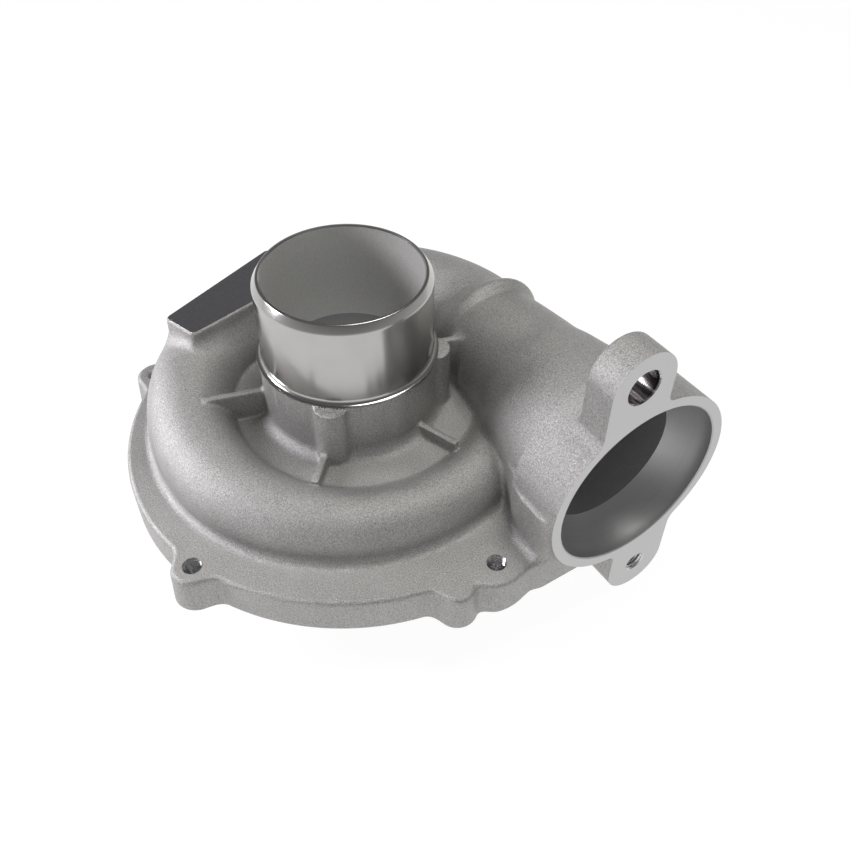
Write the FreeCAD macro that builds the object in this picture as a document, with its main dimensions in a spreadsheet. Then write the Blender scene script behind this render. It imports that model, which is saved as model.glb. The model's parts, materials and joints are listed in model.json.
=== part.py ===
"""Turbo compressor housing: one aluminium casting with its machined faces, bores and holes.

Frame: origin on the wheel's axis in the plane of the mounting flange's underside, +Z up the inlet,
+X out of the outlet. Seen from the inlet the scroll grows clockwise, from under the outlet duct
through -Y, -X and +Y, and leaves along +X. All sizes are in millimetres and degrees.
"""

import FreeCAD, Part
import math
import os

import Sketcher
from FreeCAD import Placement, Rotation, Vector

NODE = "compressor_housing"

# Driving dimensions: alias and value, one spreadsheet row each.
DIMENSIONS = (
    ("flange_radius", 105.6),
    ("flange_thickness", 17.0),
    ("flange_edge_round", 2.0),
    ("lug_count", 5),
    ("lug_circle", 106.2),
    ("lug_radius", 10.2),
    ("lug_angle", 4.2),
    ("lug_blend", 5.0),
    ("lug_tap_drill", 6.8),
    ("tap_chamfer", 1.0),
    ("lobe_angle", -6.5),
    ("lobe_circle", 107.8),
    ("lobe_radius", 8.5),
    ("wall_plane", 115.6),
    ("wall_side", -2.5),
    ("wall_corner_round", 6.0),
    ("wall_depth", 84.0),
    ("neck_radius", 39.6),
    ("collar_radius", 40.0),
    ("collar_height", 60.9),
    ("collar_width", 1.2),
    ("collar_fillet", 4.0),
    ("spigot_dia", 76.2),
    ("spigot_relief", 0.6),
    ("spigot_height", 101.6),
    ("spigot_lip", 2.2),
    ("spigot_bevel", 3.0),
    ("spigot_land", 2.0),
    ("spigot_lip_round", 2.0),
    ("floor_height", 31.7),
    ("floor_radius", 62.0),
    ("floor_rise", 0.7),
    ("neck_fillet", 6.0),
    ("inlet_bore", 68.6),
    ("inlet_bore_depth", 30.0),
    ("inducer_bore", 62.0),
    ("inducer_height", 56.0),
    ("shroud_fillet", 17.0),
    ("diffuser_height", 11.0),
    ("diffuser_radius", 62.0),
    ("opening_radius", 75.0),
    ("opening_margin", 1.0),
    ("register_radius", 95.0),
    ("register_depth", 6.0),
    ("scroll_start", 25.0),
    ("scroll_least_turn", 60.0),
    ("scroll_wall", 4.6),
    ("scroll_fullness", 1.8),
    ("scroll_growth", 1.124),
    ("scroll_first_radius", 0.4),
    ("scroll_widest", 75.0),
    ("scroll_widest_turn", 200.0),
    ("scroll_spread", 75.0),
    ("scroll_low", 17.0),
    ("scroll_climb", 0.0888),
    ("scroll_foot", 5.0),
    ("scroll_foot_bend", 70.0),
    ("outlet_face", 120.1),
    ("outlet_offset", 67.3),
    ("outlet_height", 42.1),
    ("outlet_ring", 44.7),
    ("outlet_bore", 39.8),
    ("outlet_seat", 6.0),
    ("outlet_throat", 31.8),
    ("outlet_depth", 18.7),
    ("flare_start", 70.0),
    ("flare_radius", 32.8),
    ("flare_end", 101.0),
    ("flare_round", 20.0),
    ("bead_place", 7.0),
    ("bead_width", 12.0),
    ("bead_height", 3.0),
    ("ear_circle", 120.0),
    ("ear_tilt", 10.2),
    ("ear_radius", 15.3),
    ("ear_thickness", 14.5),
    ("ear_round", 2.0),
    ("ear_hole", 14.8),
    ("ear_tap_drill", 8.5),
    ("boss_radius", 7.4),
    ("boss_circle", 37.9),
    ("boss_angle_1", -40.0),
    ("boss_angle_2", 57.0),
    ("rib_thickness", 3.0),
    ("boss_rib_angle", -44.0),
    ("boss_rib_top", 37.5),
    ("boss_rib_reach", 62.0),
    ("duct_rib_angle", 20.5),
    ("duct_rib_top", 37.5),
    ("duct_rib_reach", 62.0),
    ("rear_rib_angle", 71.0),
    ("rear_rib_top", 57.0),
    ("rear_rib_reach", 60.0),
    ("far_rib_angle", 160.0),
    ("far_rib_top", 52.0),
    ("far_rib_reach", 60.0),
    ("left_rib_angle", -106.5),
    ("left_rib_top", 46.0),
    ("left_rib_reach", 68.0),
    ("root_overlap", 3.0),
    ("pad_top", 58.1),
    ("pad_round", 3.0),
)

doc = FreeCAD.newDocument("turbo_compressor_housing")
sheet = doc.addObject("Spreadsheet::Sheet", "Dims")
for row, (alias, value) in enumerate(DIMENSIONS, start=1):
    sheet.set(f"A{row}", alias)
    sheet.set(f"B{row}", str(value))
    sheet.setAlias(f"B{row}", alias)
doc.recompute()


def size(alias):
    """A driving dimension, read back from the sheet."""
    return float(sheet.get(alias))


def polar(radius, angle, height=0.0):
    """The point at a radius and an angle in degrees about the wheel's axis."""
    turn = math.radians(angle)
    return Vector(radius * math.cos(turn), radius * math.sin(turn), height)


# Sketched and turned bodies


def origin_plane(body, role):
    """One of a body's own origin planes."""
    return next(plane for plane in body.Origin.OriginFeatures if plane.Role == role)


def evaluate(rule):
    """The number that a sheet expression stands for, used as a sketch's first guess."""
    return float(sheet.evalExpression(rule.replace("Dims.", "")))


def outline_sketch(body, name, role, corners):
    """A closed outline of straight lines whose corners are held by sheet expressions."""
    sketch = body.newObject("Sketcher::SketchObject", name)
    sketch.AttachmentSupport = [(origin_plane(body, role), "")]
    sketch.MapMode = "FlatFace"
    places = [Vector(evaluate(across), evaluate(up), 0) for across, up in corners]
    count = len(places)
    for index in range(count):
        sketch.addGeometry(Part.LineSegment(places[index], places[(index + 1) % count]), False)
    for index in range(count):
        sketch.addConstraint(Sketcher.Constraint("Coincident", index, 2, (index + 1) % count, 1))
    for index, (across, up) in enumerate(corners):
        held_places = (("DistanceX", across, places[index].x), ("DistanceY", up, places[index].y))
        for kind, rule, value in held_places:
            if rule == "0":
                axis = -2 if kind == "DistanceX" else -1
                sketch.addConstraint(Sketcher.Constraint("PointOnObject", index, 1, axis))
                continue
            held = sketch.addConstraint(Sketcher.Constraint(kind, -1, 1, index, 1, value))
            sketch.setExpression(f"Constraints[{held}]", rule)
    return sketch


def turned_body(name, axis, corners):
    """A body of revolution about the sketch's H_Axis or V_Axis."""
    body = doc.addObject("PartDesign::Body", name)
    sketch = outline_sketch(body, f"{name}_outline", "XZ_Plane", corners)
    turned = body.newObject("PartDesign::Revolution", f"{name}_turned")
    turned.Profile = sketch
    turned.ReferenceAxis = (sketch, [axis])
    turned.Angle = 360.0
    doc.recompute()
    return body, turned


def round_edges(body, base, name, rule, chosen):
    """A fillet on the edges of a feature for which chosen(edge) is true."""
    edges = [f"Edge{i}" for i, edge in enumerate(base.Shape.Edges, start=1) if chosen(edge)]
    fillet = body.newObject("PartDesign::Fillet", name)
    fillet.Base = (base, edges)
    fillet.setExpression("Radius", rule)
    doc.recompute()
    return fillet


def is_circle(edge, radius, height):
    """Whether an edge is the circle of that radius about Z at that height."""
    curve = edge.Curve
    if not isinstance(curve, Part.Circle):
        return False
    return abs(curve.Radius - radius) < 0.01 and abs(curve.Center.z - height) < 0.01


def make_neck():
    """The hub floor, the cast neck, the collar and the turned hose spigot, solid to the axis."""
    radius = "Dims.spigot_dia / 2"
    relief = "Dims.spigot_dia / 2 - Dims.spigot_relief"
    land = "Dims.inlet_bore / 2 + Dims.spigot_land"
    collar_top = "Dims.collar_height + Dims.collar_width"
    bevel_foot = "Dims.spigot_height - Dims.spigot_bevel"
    bottom = "Dims.register_depth + Dims.root_overlap"
    corners = (
        ("0", bottom),
        ("Dims.floor_radius", bottom),
        ("Dims.floor_radius", "Dims.floor_height + Dims.floor_rise"),
        ("Dims.neck_radius", "Dims.floor_height"),
        ("Dims.neck_radius", "Dims.collar_height"),
        ("Dims.collar_radius", "Dims.collar_height"),
        ("Dims.collar_radius", collar_top),
        (relief, collar_top),
        (relief, f"{bevel_foot} - Dims.spigot_lip - Dims.spigot_relief"),
        (radius, f"{bevel_foot} - Dims.spigot_lip"),
        (radius, bevel_foot),
        (land, "Dims.spigot_height"),
        ("0", "Dims.spigot_height"),
    )
    body, turned = turned_body("neck", "V_Axis", corners)
    foot = round_edges(
        body, turned, "neck_foot", "Dims.neck_fillet",
        lambda edge: is_circle(edge, size("neck_radius"), size("floor_height")),
    )
    ledge = f"(Dims.collar_radius - {relief})"
    collar = round_edges(
        body, foot, "collar_foot", f"min(Dims.collar_fillet; 0.85 * {ledge})",
        lambda edge: is_circle(edge, evaluate(relief), evaluate(collar_top)),
    )
    round_edges(
        body, collar, "spigot_lip", "Dims.spigot_lip_round",
        lambda edge: is_circle(edge, evaluate(land), size("spigot_height")),
    )
    return body


def make_turned_core():
    """What the lathe and the inlet core take away: inlet, shroud, diffuser face and register."""
    corners = (
        ("0", "Dims.spigot_height + 2"),
        ("Dims.inlet_bore / 2", "Dims.spigot_height + 2"),
        ("Dims.inlet_bore / 2", "Dims.spigot_height - Dims.inlet_bore_depth"),
        ("Dims.inducer_bore / 2", "Dims.inducer_height"),
        ("Dims.inducer_bore / 2", "Dims.diffuser_height"),
        ("Dims.opening_radius", "Dims.diffuser_height"),
        ("Dims.opening_radius", "Dims.register_depth"),
        ("Dims.register_radius", "Dims.register_depth"),
        ("Dims.register_radius", "-2"),
        ("0", "-2"),
    )
    body, turned = turned_body("turned_core", "V_Axis", corners)
    round_edges(
        body, turned, "shroud", "Dims.shroud_fillet",
        lambda edge: is_circle(edge, size("inducer_bore") / 2, size("diffuser_height")),
    )
    return body


def make_outlet_boss():
    """The flare and the round boss behind the outlet face, turned about the outlet's axis."""
    corners = (
        ("Dims.flare_start", "0"),
        ("Dims.flare_start", "Dims.flare_radius"),
        ("Dims.flare_end", "Dims.outlet_ring"),
        ("Dims.outlet_face", "Dims.outlet_ring"),
        ("Dims.outlet_face", "0"),
    )
    body, turned = turned_body("outlet_boss", "H_Axis", corners)
    flare_end = size("flare_end")
    round_edges(
        body, turned, "flare_shoulder", "Dims.flare_round",
        lambda edge: isinstance(edge.Curve, Part.Circle) and abs(edge.Curve.Center.x - flare_end) < 0.01,
    )
    on_outlet_axis(body)
    return body


def make_outlet_core():
    """The turned seat and lead-in cone of the outlet."""
    corners = (
        ("Dims.outlet_face - Dims.outlet_depth", "0"),
        ("Dims.outlet_face - Dims.outlet_depth", "Dims.outlet_throat"),
        ("Dims.outlet_face - Dims.outlet_seat", "Dims.outlet_bore"),
        ("Dims.outlet_face + 2", "Dims.outlet_bore"),
        ("Dims.outlet_face + 2", "0"),
    )
    body, turned = turned_body("outlet_core", "H_Axis", corners)
    on_outlet_axis(body)
    return body


def on_outlet_axis(item):
    """Moves an object from the X axis to the outlet's axis."""
    item.setExpression("Placement.Base.y", "Dims.outlet_offset")
    item.setExpression("Placement.Base.z", "Dims.outlet_height")


def evenly(first, last, steps):
    """Evenly spaced values from first to last, both included."""
    return [first + (last - first) * index / steps for index in range(steps + 1)]


# Scroll law: each size as a function of the turn, in degrees from the tongue


def passage_radius(turn):
    """The air passage's radius: its area grows in proportion to the turn."""
    return size("scroll_growth") * math.sqrt(turn) + size("scroll_first_radius")


def scroll_radius(turn):
    """The distance of the passage's centre from the wheel's axis: a parabola over the turn."""
    return size("scroll_widest") - ((turn - size("scroll_widest_turn")) / size("scroll_spread")) ** 2


def scroll_height(turn):
    """The height of the passage's centre above the flange's underside."""
    return size("scroll_low") + size("scroll_climb") * turn


def skin_turn(turn):
    """The turn whose section the skin has: the casting never gets slimmer than at the least turn."""
    least = size("scroll_least_turn")
    return (least ** 4 + max(turn, 0.0) ** 4) ** 0.25


THROAT_TURN = 270.0 + size("scroll_start")

# Where forms that stand on the flange end, out of sight inside its plate.
BURIED = size("register_depth") + size("root_overlap")
FOOT_SUNK = 0.8
FOOT_SETBACK = 4.0

# The passage opens this many degrees after the tongue, and its slot runs on under the duct.
FIRST_OPEN_TURN = 20.0
OPEN_PAST_THROAT = 38.0


def skin_profile(turn):
    """Points of the outer skin's section (radius, height), with its foot flaring into the flange."""
    grown = skin_turn(turn)
    full = size("scroll_fullness")
    centre, height = scroll_radius(grown) - full, scroll_height(grown) - full
    radius = passage_radius(grown) + size("scroll_wall") + full
    outer = centre + radius
    foot = size("scroll_foot")
    bend = math.radians(size("scroll_foot_bend"))
    foot_height = size("flange_thickness") - FOOT_SUNK + foot * math.sin(bend)

    def on_foot(angle):
        return outer + foot * (1 - math.cos(angle)), foot_height - foot * math.sin(angle)

    return {
        "low_inner": (centre - radius, BURIED),
        "inner": (centre - radius, height),
        "crest": (centre, height + radius),
        "outer": (outer, height),
        "foot_top": (outer, foot_height),
        "foot_middle": on_foot(bend / 2),
        "foot_low": on_foot(bend),
        "low_outer": (on_foot(bend)[0], BURIED),
    }


def skin_wire(turn, place):
    """One closed section of the outer skin; place turns (radius, height) into a point in space."""
    at = {name: place(*point) for name, point in skin_profile(turn).items()}
    edges = (
        Part.LineSegment(at["low_inner"], at["inner"]),
        Part.Arc(at["inner"], at["crest"], at["outer"]),
        Part.LineSegment(at["outer"], at["foot_top"]),
        Part.Arc(at["foot_top"], at["foot_middle"], at["foot_low"]),
        Part.LineSegment(at["foot_low"], at["low_outer"]),
        Part.LineSegment(at["low_outer"], at["low_inner"]),
    )
    return Part.Wire([edge.toShape() for edge in edges])


def make_scroll_skin():
    """The scroll's outside, lofted through sections about the wheel's axis."""
    wires = []
    first = -35.0
    past_throat = 3.0
    for turn in evenly(first, THROAT_TURN, 22):
        angle = size("scroll_start") - turn
        wires.append(skin_wire(turn, lambda radius, height, angle=angle: polar(radius, angle, height)))
    wires.append(skin_wire(THROAT_TURN, lambda radius, height: Vector(past_throat, radius, height)))
    return Part.makeLoft(wires, True, False)


def circle_wire(centre, normal, radius, start):
    """A circular section that starts on the side that start points to."""
    axis = FreeCAD.Vector(normal)
    axis.normalize()
    side = FreeCAD.Vector(start)
    side.normalize()
    other = axis.cross(side)
    turn = FreeCAD.Matrix(
        side.x, other.x, axis.x, centre.x,
        side.y, other.y, axis.y, centre.y,
        side.z, other.z, axis.z, centre.z,
        0, 0, 0, 1,
    )
    circle = Part.makeCircle(radius)
    circle.Placement = Placement(turn)
    return Part.Wire([circle])


def duct_station(share):
    """Centre and passage radius of the outlet duct: share 0 is the throat, 1 the outlet's lead-in."""
    end = size("outlet_face") - size("outlet_depth")
    centre = Vector(
        end * share,
        scroll_radius(THROAT_TURN) * (1 - share) + size("outlet_offset") * share,
        scroll_height(THROAT_TURN) * (1 - share) + size("outlet_height") * share,
    )
    radius = passage_radius(THROAT_TURN) * (1 - share) + size("outlet_throat") * share
    return centre, radius


def make_scroll_core():
    """The air passage: a growing round section about the axis, then the straight duct."""
    wires = []
    for turn in evenly(FIRST_OPEN_TURN, THROAT_TURN, 11):
        angle = size("scroll_start") - turn
        centre = polar(scroll_radius(turn), angle, scroll_height(turn))
        wires.append(circle_wire(centre, polar(1, angle - 90), passage_radius(turn), polar(1, angle)))
    for share in (0.2, 0.45, 0.7, 1.03):
        centre, radius = duct_station(share)
        wires.append(circle_wire(centre, Vector(1, 0, 0), radius, Vector(0, 1, 0)))
    return Part.makeLoft(wires, True, False)


def make_opening():
    """The ring-shaped way up from the diffuser into the passage, its roof inside the passage."""
    inner = size("diffuser_radius") + size("opening_margin")
    outer = size("opening_radius") - size("opening_margin")
    low = size("register_depth") + 2.0
    wires = []
    for turn in evenly(FIRST_OPEN_TURN, THROAT_TURN + OPEN_PAST_THROAT, 14):
        angle = size("scroll_start") - turn
        top = scroll_height(min(turn, THROAT_TURN))
        section = ((inner, low), (outer, low), (outer, top), (inner, top))
        corners = [polar(radius, angle, height) for radius, height in section]
        wires.append(Part.makePolygon(corners + corners[:1]))
    return Part.makeLoft(wires, True, False)


def make_duct_skin():
    """The outside of the diffuser duct: a slanting cone one wall outside the passage."""
    wires = []
    for share in (0.01, 0.97):
        centre, radius = duct_station(share)
        wires.append(circle_wire(centre, Vector(1, 0, 0), radius + size("scroll_wall"), Vector(0, 1, 0)))
    return Part.makeLoft(wires, True, True)


def make_duct_foot():
    """The block under the duct, whose wall toward -Y runs just inside the duct's widest line."""
    inset = 0.6
    wall = size("wall_plane")
    stations = []
    for share in (0.0, 0.35, 0.68):
        centre, radius = duct_station(share)
        stations.append((centre.x, centre.y - radius - size("scroll_wall") + inset))
    flare_middle = (size("flare_start") + size("flare_end")) / 2
    flare_radius = (size("flare_radius") + size("outlet_ring")) / 2
    stations.append((flare_middle, size("outlet_offset") - flare_radius + inset))
    ring_side = size("outlet_offset") - size("outlet_ring") + inset
    stations.append((size("flare_end"), ring_side))
    stations.append((wall, ring_side))
    throat, radius = duct_station(0.0)
    far = size("wall_depth") - FOOT_SETBACK
    stations.append((wall, far))
    stations.append((wall / 2, far))
    stations.append((wall / 3, throat.y + radius))
    stations.append((0.0, throat.y + radius))
    corners = [Vector(x, y, BURIED) for x, y in stations]
    base = Part.Face(Part.makePolygon(corners + corners[:1]))
    return base.extrude(Vector(0, 0, size("outlet_height") - BURIED))


def make_bead():
    """The rounded shoulder where the scroll hands over to the duct."""
    centre, radius = duct_station(size("bead_place") / size("outlet_face"))
    skin = radius + size("scroll_wall")
    half = size("bead_width") / 2
    low = skin - size("bead_height") / 2
    left, right = Vector(-half, low, 0), Vector(half, low, 0)
    outline = Part.Wire([
        Part.Arc(left, Vector(0, skin + size("bead_height"), 0), right).toShape(),
        Part.LineSegment(right, Vector(half, 0, 0)).toShape(),
        Part.LineSegment(Vector(half, 0, 0), Vector(-half, 0, 0)).toShape(),
        Part.LineSegment(Vector(-half, 0, 0), left).toShape(),
    ])
    bead = Part.Face(outline).revolve(Vector(0, 0, 0), Vector(1, 0, 0), 360)
    bead.translate(centre)
    return bead


# Flange


def lug_angles():
    """The bolt lugs' angles, evenly spaced."""
    count = int(size("lug_count"))
    return [size("lug_angle") + 360.0 * index / count for index in range(count)]


def disc(centre, radius):
    """A flat round face in the flange's underside plane."""
    return Part.Face(Part.Wire([Part.makeCircle(radius, centre)]))


def make_flange():
    """The flange plate with its lugs, blended in plan by growing and shrinking the outline."""
    plan = disc(Vector(0, 0, 0), size("flange_radius"))
    pieces = [disc(polar(size("lug_circle"), angle), size("lug_radius")) for angle in lug_angles()]
    pieces.append(disc(polar(size("lobe_circle"), size("lobe_angle")), size("lobe_radius")))
    reach, far = size("wall_plane"), size("wall_depth")
    round_ = size("wall_corner_round")
    start = reach / 3
    turn = Vector(reach - round_, size("wall_side") + round_, 0)
    pieces.append(disc(turn, round_))
    pieces.append(Part.makePlane(reach - start, far - turn.y, Vector(start, turn.y, 0)))
    plan = plan.fuse(pieces).removeSplitter().Faces[0]
    blend = size("lug_blend")
    plan = plan.makeOffset2D(blend).makeOffset2D(-blend).Faces[0]
    plate = plan.extrude(Vector(0, 0, size("flange_thickness")))
    top = size("flange_thickness")
    rim = [edge for edge in plate.Edges if all(abs(v.Z - top) < 1e-6 for v in edge.Vertexes)]
    return plate.makeFillet(size("flange_edge_round"), rim)


def tapped_hole(mouth, axis, drill, length):
    """A drilled hole with a countersunk mouth; axis points out of the mouth."""
    radius = drill / 2
    chamfer = size("tap_chamfer")
    inward = Vector(axis) * -1
    hole = Part.makeCylinder(radius, length + 1.0, mouth + Vector(axis), inward)
    sink = Part.makeCone(radius + chamfer + 1.0, radius, chamfer + 1.0, mouth + Vector(axis), inward)
    return hole.fuse(sink)


# Outlet ears


def ear_places():
    """The two ear holes as (Y, Z) about the outlet's centre: upper, then lower."""
    reach = size("ear_circle") / 2
    tilt = math.radians(size("ear_tilt"))
    upper = (-reach * math.sin(tilt), reach * math.cos(tilt))
    return upper, (-upper[0], -upper[1])


def make_ear(across, up):
    """One round-ended ear of the outlet's two-bolt flange, with its back edges rounded."""
    radius = size("ear_radius")
    back = size("outlet_face") - size("ear_thickness")
    centre_y = size("outlet_offset") + across
    centre_z = size("outlet_height") + up
    root_z = size("outlet_height") + math.copysign(size("outlet_throat"), up)
    left, right = centre_y - radius, centre_y + radius
    corners = [(left, root_z), (left, centre_z), (right, centre_z), (right, root_z)]
    foot, shoulder, far_shoulder, far_foot = (Vector(back, y, z) for y, z in corners)
    tip = Vector(back, centre_y, centre_z + math.copysign(radius, up))
    outline = Part.Wire([
        Part.LineSegment(foot, shoulder).toShape(),
        Part.Arc(shoulder, tip, far_shoulder).toShape(),
        Part.LineSegment(far_shoulder, far_foot).toShape(),
        Part.LineSegment(far_foot, foot).toShape(),
    ])
    ear = Part.Face(outline).extrude(Vector(size("ear_thickness"), 0, 0))
    rim = [
        edge for edge in ear.Edges
        if all(abs(v.X - back) < 1e-6 for v in edge.Vertexes) and edge.BoundBox.ZLength > 1e-3
    ]
    return ear.makeFillet(size("ear_round"), rim)


# Small cast features

RIBS = ("boss_rib", "duct_rib", "rear_rib", "far_rib", "left_rib")
BOSSES = (1, 2)
PAD_CORNERS = ((-65.4, -59.9), (-49.7, -54.4), (-64.2, 12.0), (-92.0, 5.0))


def make_rib(name):
    """A thin web from inside the neck's wall to inside the scroll."""
    rib = doc.addObject("Part::Box", name)
    rib.setExpression("Length", f"Dims.{name}_reach - Dims.neck_radius + Dims.root_overlap")
    rib.setExpression("Width", "Dims.rib_thickness")
    rib.setExpression("Height", f"Dims.{name}_top - Dims.floor_height + Dims.root_overlap")
    overlap = size("root_overlap")
    corner = Vector(size("neck_radius") - overlap, -size("rib_thickness") / 2, size("floor_height") - overlap)
    turn = Rotation(Vector(0, 0, 1), size(f"{name}_angle"))
    rib.Placement = Placement(turn.multVec(corner), turn)
    return rib


def make_boss(index):
    """A round column on the neck, cut off level with the collar's underside."""
    boss = doc.addObject("Part::Cylinder", f"neck_boss_{index}")
    boss.setExpression("Radius", "Dims.boss_radius")
    boss.setExpression("Height", "Dims.collar_height - Dims.floor_height + Dims.root_overlap")
    foot = size("floor_height") - size("root_overlap")
    boss.Placement = Placement(polar(size("boss_circle"), size(f"boss_angle_{index}"), foot), Rotation())
    return boss


def make_pad():
    """The flat-topped pad cast on the scroll's back."""
    low = size("floor_height")
    corners = [Vector(x, y, low) for x, y in PAD_CORNERS]
    block = Part.Face(Part.makePolygon(corners + corners[:1])).extrude(Vector(0, 0, size("pad_top") - low))
    upright = [edge for edge in block.Edges if edge.BoundBox.ZLength > 1.0]
    return block.makeFillet(size("pad_round"), upright)


def feature(name, shape):
    """Keeps a shape made by Part functions as an object of the document."""
    item = doc.addObject("Part::Feature", name)
    item.Shape = shape
    return item


def chained(kind, name, items):
    """Joins or cuts the items one after another, which holds up where one big boolean does not."""
    result = items[0]
    for index, item in enumerate(items[1:], start=1):
        step = doc.addObject(kind, f"{name}_{index}")
        step.Base = result
        step.Tool = item
        step.Refine = False
        result = step
    return result


def make_casting():
    """Everything that the mould gives, fused to one solid."""
    parts = [
        make_neck(),
        feature("scroll_skin", make_scroll_skin()),
        feature("flange_plate", make_flange()),
        feature("duct_skin", make_duct_skin()),
        feature("duct_foot", make_duct_foot()),
        feature("shoulder_bead", make_bead()),
        make_outlet_boss(),
        feature("mounting_pad", make_pad()),
    ]
    for side, place in zip(("upper", "lower"), ear_places()):
        parts.append(feature(f"ear_{side}", make_ear(*place)))
    parts += [make_rib(name) for name in RIBS]
    parts += [make_boss(index) for index in BOSSES]
    return chained("Part::Fuse", "casting", parts)


def make_cuts():
    """Cores and machining: everything that is taken out of the casting."""
    cuts = [make_turned_core(), make_outlet_core()]
    cuts.append(feature("passage_core", make_scroll_core()))
    cuts.append(feature("opening_core", make_opening()))
    up = Vector(0, 0, 1)
    thickness = size("flange_thickness")
    clear = 1.0
    for index, angle in enumerate(lug_angles(), start=1):
        mouth = polar(size("lug_circle"), angle, thickness)
        hole = tapped_hole(mouth, up, size("lug_tap_drill"), thickness + clear)
        cuts.append(feature(f"lug_hole_{index}", hole))
    out = Vector(1, 0, 0)
    centre = Vector(size("outlet_face"), size("outlet_offset"), size("outlet_height"))
    upper, lower = ear_places()
    deep = size("ear_thickness") + clear
    mouth = centre + Vector(clear, *upper)
    through = Part.makeCylinder(size("ear_hole") / 2, deep + clear, mouth, out * -1)
    cuts.append(feature("ear_hole_upper", through))
    tapped = tapped_hole(centre + Vector(0, *lower), out, size("ear_tap_drill"), deep)
    cuts.append(feature("ear_hole_lower", tapped))
    return cuts


housing = chained("Part::Cut", "machining", [make_casting()] + make_cuts())
housing.Label = NODE
doc.recompute()


def check(item):
    """Stops the script if an object failed or holds no sound shape."""
    bad = {"Invalid", "Error"} & set(item.State)
    if bad:
        raise RuntimeError(f"{item.Name} failed: {item.State}")
    if hasattr(item, "Shape") and item.isDerivedFrom("Part::Feature"):
        if item.Shape.isNull() or not item.Shape.isValid():
            raise RuntimeError(f"{item.Name} has no valid shape")


for item in doc.Objects:
    check(item)
if len(housing.Shape.Solids) != 1:
    raise RuntimeError(f"{NODE} came out as {len(housing.Shape.Solids)} solids")

os.makedirs("parts", exist_ok=True)
housing.Shape.exportStep(f"parts/{NODE}.step")
print(NODE, "volume mm3", round(housing.Shape.Volume), "box", housing.Shape.BoundBox)
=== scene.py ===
"""Looks of a turbo compressor housing: one aluminium casting with its machined and threaded places.

The casting's outside is one smooth surface, worked out as a distance field whose forms meet in
cast fillets. The lathe cuts, bores, air passage and threads are then taken out of it. Lengths
below are millimetres in the part's own frame, and metres where they reach a mesh.
"""

import json
import math

import bpy
import numpy as np
from mathutils import Matrix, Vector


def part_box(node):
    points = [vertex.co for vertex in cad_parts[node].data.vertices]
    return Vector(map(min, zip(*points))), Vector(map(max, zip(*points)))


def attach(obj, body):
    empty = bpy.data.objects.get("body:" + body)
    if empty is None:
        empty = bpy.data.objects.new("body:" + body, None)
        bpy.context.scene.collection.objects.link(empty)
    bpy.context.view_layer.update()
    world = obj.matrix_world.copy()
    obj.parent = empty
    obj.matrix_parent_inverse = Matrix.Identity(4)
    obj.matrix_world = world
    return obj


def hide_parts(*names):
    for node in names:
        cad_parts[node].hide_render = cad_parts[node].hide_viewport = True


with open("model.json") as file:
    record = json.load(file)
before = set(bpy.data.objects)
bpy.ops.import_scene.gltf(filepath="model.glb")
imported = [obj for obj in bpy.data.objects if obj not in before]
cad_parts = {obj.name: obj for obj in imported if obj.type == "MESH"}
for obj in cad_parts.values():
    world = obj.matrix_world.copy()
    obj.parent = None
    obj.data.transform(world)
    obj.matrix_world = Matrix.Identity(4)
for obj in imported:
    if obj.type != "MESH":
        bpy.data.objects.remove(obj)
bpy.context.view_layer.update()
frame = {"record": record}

bl_info = {
    "name": "Turbo Compressor Housing",
    "version": (1, 0, 0),
    "blender": (4, 5, 0),
    "location": "3D View > Sidebar > Housing",
    "description": "Builds the looks of a cast turbo compressor housing around its packed model",
    "category": "Add Mesh",
}

NODE = "compressor_housing"
MM = 0.001
MOUNTS = {mount["name"]: mount for mount in frame["record"]["mounts"]}


def mount_place(name):
    """A mount's position in millimetres."""
    return np.array(MOUNTS[name]["pos_m"]) / MM


def mount_size(name, key):
    """A mount's stated dimension in millimetres."""
    return MOUNTS[name]["dims"][key]


# Places that the frame gives

BOX_LOW, BOX_HIGH = (np.array(corner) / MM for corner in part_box(NODE))
OUTLET_Y, OUTLET_Z = mount_place("outlet_bore")[1:]
OUTLET_FACE = BOX_HIGH[0]
OUTLET_RADIUS = mount_size("outlet_bore", "r_mm")
OUTLET_DEPTH = mount_size("outlet_bore", "length_mm")
UPPER_EAR = mount_place("outlet_dowel_hole")[1:]
LOWER_EAR = mount_place("outlet_stud_hole")[1:]
EAR_THICKNESS = mount_size("outlet_dowel_hole", "length_mm")
DOWEL_RADIUS = mount_size("outlet_dowel_hole", "r_mm")
STUD_DRILL = mount_size("outlet_stud_hole", "r_mm")
INLET_RADIUS = mount_size("inlet_bore", "r_mm")
INLET_DEPTH = mount_size("inlet_bore", "length_mm")
SPIGOT_TOP = mount_place("inlet_bore")[2] + INLET_DEPTH / 2
SPIGOT_RADIUS = mount_size("inlet_spigot", "r_mm")
INDUCER_RADIUS = mount_size("inducer_bore", "r_mm")
INDUCER_TOP = mount_place("inducer_bore")[2] + mount_size("inducer_bore", "length_mm") / 2
REGISTER_RADIUS = mount_size("register_bore", "r_mm")
REGISTER_DEPTH = mount_size("register_bore", "length_mm")
LUG_CIRCLE = mount_size("lug_holes", "pcd_mm") / 2
LUG_COUNT = mount_size("lug_holes", "count")
LUG_DRILL = mount_size("lug_holes", "hole_r_mm")

# The flange: its lugs, the blank lobe, and the straight side below the outlet

FLANGE_RADIUS = 105.6
FLANGE_THICKNESS = 17.0
FLANGE_EDGE = 2.2
LUG_RADIUS = 10.2
LUG_ANGLE = 4.2
LUG_DRAFT = 0.07
LOBE_CIRCLE = 107.8
LOBE_ANGLE = -6.5
LOBE_RADIUS = 8.5
PLAN_BLEND = 6.0
WALL_PLANE = 115.6
WALL_SIDE = -2.5
WALL_START = 60.0
WALL_FAR = 84.0
WALL_CORNER = 6.0
WALL_FAR_CORNER = 2.0

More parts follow.
